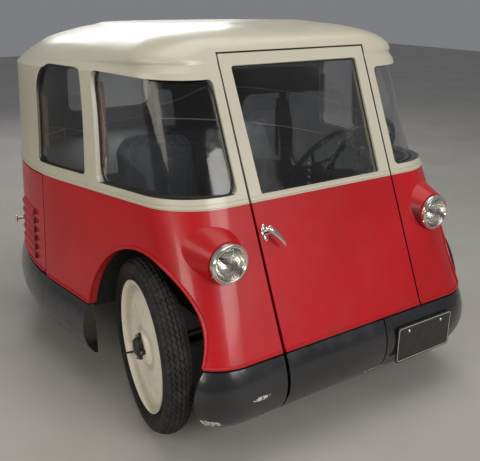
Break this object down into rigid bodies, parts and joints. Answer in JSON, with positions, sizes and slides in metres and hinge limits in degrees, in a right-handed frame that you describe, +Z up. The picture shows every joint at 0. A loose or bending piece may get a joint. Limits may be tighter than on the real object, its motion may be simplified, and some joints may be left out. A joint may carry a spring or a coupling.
{
  "type": "three wheeled car",
  "caption": "Small three wheeled car with a leaning front door, curved corner windows, a rounded tail, two steered front wheels and one rear wheel.",
  "frame": {"origin": "on the floor under the middle of the car's bounding box", "axes": "+Z up, -Y forward out of the door, +X to the car's left side"},
  "size_m": [1.654, 2.3687, 1.4292],
  "materials": {
    "cream_paint": "gloss, aged",
    "red_paint": "gloss, aged",
    "cream_frame": "gloss, aged",
    "black_paint": "gloss, chipped",
    "wheel_paint": "gloss, aged",
    "clear_glass": "clear",
    "lamp_glass": "fluted",
    "lamp_red": "gloss",
    "bright_metal": "polished",
    "dark_metal": "satin",
    "hub_metal": "worn",
    "engine_metal": "cast",
    "tyre_rubber": "moulded",
    "black_rim": "gloss",
    "seat_vinyl": "grained",
    "floor_board": "painted board"
  },
  "bodies": {
    "body": {"upper_shell": "cream_paint", "side_glasses": "clear_glass", "rear_glass": "clear_glass", "body_side_right": "red_paint", "body_side_left": "red_paint", "tail_panel": "red_paint", "body_bumpers": "black_paint", "number_plate": "black_paint", "headlamps": "bright_metal", "headlamp_lenses": "lamp_glass", "floor_pan": "floor_board", "wheel_housings": "black_paint", "chassis_frame": "dark_metal", "rear_deck": "floor_board", "engine_block": "engine_metal", "seat_cushion": "seat_vinyl", "seat_base": "floor_board", "seat_backs": "seat_vinyl", "front_axle": "dark_metal", "steering_column": "dark_metal", "rear_fork": "dark_metal", "tail_lamps": "lamp_red", "hinge_pins": "dark_metal"},
    "door": {"door_panel": "red_paint", "door_frame": "cream_frame", "door_glass": "clear_glass", "door_handle": "bright_metal", "door_bumper": "black_paint"},
    "cover_right": {"engine_cover_right": "red_paint", "cover_handle_right": "bright_metal"},
    "cover_left": {"engine_cover_left": "red_paint", "cover_handle_left": "bright_metal"},
    "steering_right": {"knuckle_right": "dark_metal"},
    "steering_left": {"knuckle_left": "dark_metal"},
    "track_rod": {"tie_rod": "dark_metal"},
    "hand_wheel": {"steering_wheel": "black_rim"},
    "front_wheel_right": {"tyre_front_right": "tyre_rubber", "wheel_front_right": "wheel_paint", "hub_front_right": "hub_metal"},
    "front_wheel_left": {"tyre_front_left": "tyre_rubber", "wheel_front_left": "wheel_paint", "hub_front_left": "hub_metal"},
    "rear_wheel": {"tyre_rear": "tyre_rubber", "wheel_rear": "wheel_paint", "hub_rear": "hub_metal"}
  },
  "joints": [
    {"name": "door_hinge", "type": "hinge", "parent": "body", "child": "door", "pos_m": [0.33, -1.14434, 0.38339], "axis": [0, 0.4035, 0.915], "range_deg": [0, 90]},
    {"name": "cover_right_hinge", "type": "hinge", "parent": "body", "child": "cover_right", "pos_m": [-0.314, 1.03431, 0.385], "axis": [0, 0.0826, -0.9966], "range_deg": [0, 70]},
    {"name": "cover_left_hinge", "type": "hinge", "parent": "body", "child": "cover_left", "pos_m": [0.314, 1.03431, 0.385], "axis": [0, -0.0826, 0.9966], "range_deg": [0, 70]},
    {"name": "steer_right", "type": "hinge", "parent": "body", "child": "steering_right", "pos_m": [-0.56, -0.76, 0.325], "axis": [0, 0, 1], "range_deg": [-15.5, 32.5]},
    {"name": "steer_left", "type": "hinge", "parent": "body", "child": "steering_left", "pos_m": [0.56, -0.76, 0.325], "axis": [0, 0, 1], "range_deg": [-16, 33]},
    {"name": "track_rod_slide", "type": "slide", "parent": "body", "child": "track_rod", "axis": [1, 0, 0], "range_m": [-0.068, 0.033]},
    {"name": "hand_wheel_turn", "type": "hinge", "parent": "body", "child": "hand_wheel", "pos_m": [0.38, -0.72, 0.905], "axis": [0, 0.9061, 0.4231], "range_deg": [-126, 262]},
    {"name": "spin_front_right", "type": "hinge", "parent": "steering_right", "child": "front_wheel_right", "pos_m": [-0.63912, -0.74818, 0.325], "axis": [0.989, -0.1478, 0], "continuous": true},
    {"name": "spin_front_left", "type": "hinge", "parent": "steering_left", "child": "front_wheel_left", "pos_m": [0.63912, -0.77182, 0.325], "axis": [0.989, -0.1478, 0], "continuous": true},
    {"name": "spin_rear", "type": "hinge", "parent": "body", "child": "rear_wheel", "pos_m": [0, 0.71, 0.325], "axis": [1, 0, 0], "continuous": true}
  ],
  "couplings": [
    {"joint": "steer_left", "follows": "steer_right", "ratio": 1},
    {"joint": "track_rod_slide", "follows": "steer_right", "m_per_rad": -0.11652},
    {"joint": "hand_wheel_turn", "follows": "steer_right", "ratio": 8}
  ]
}
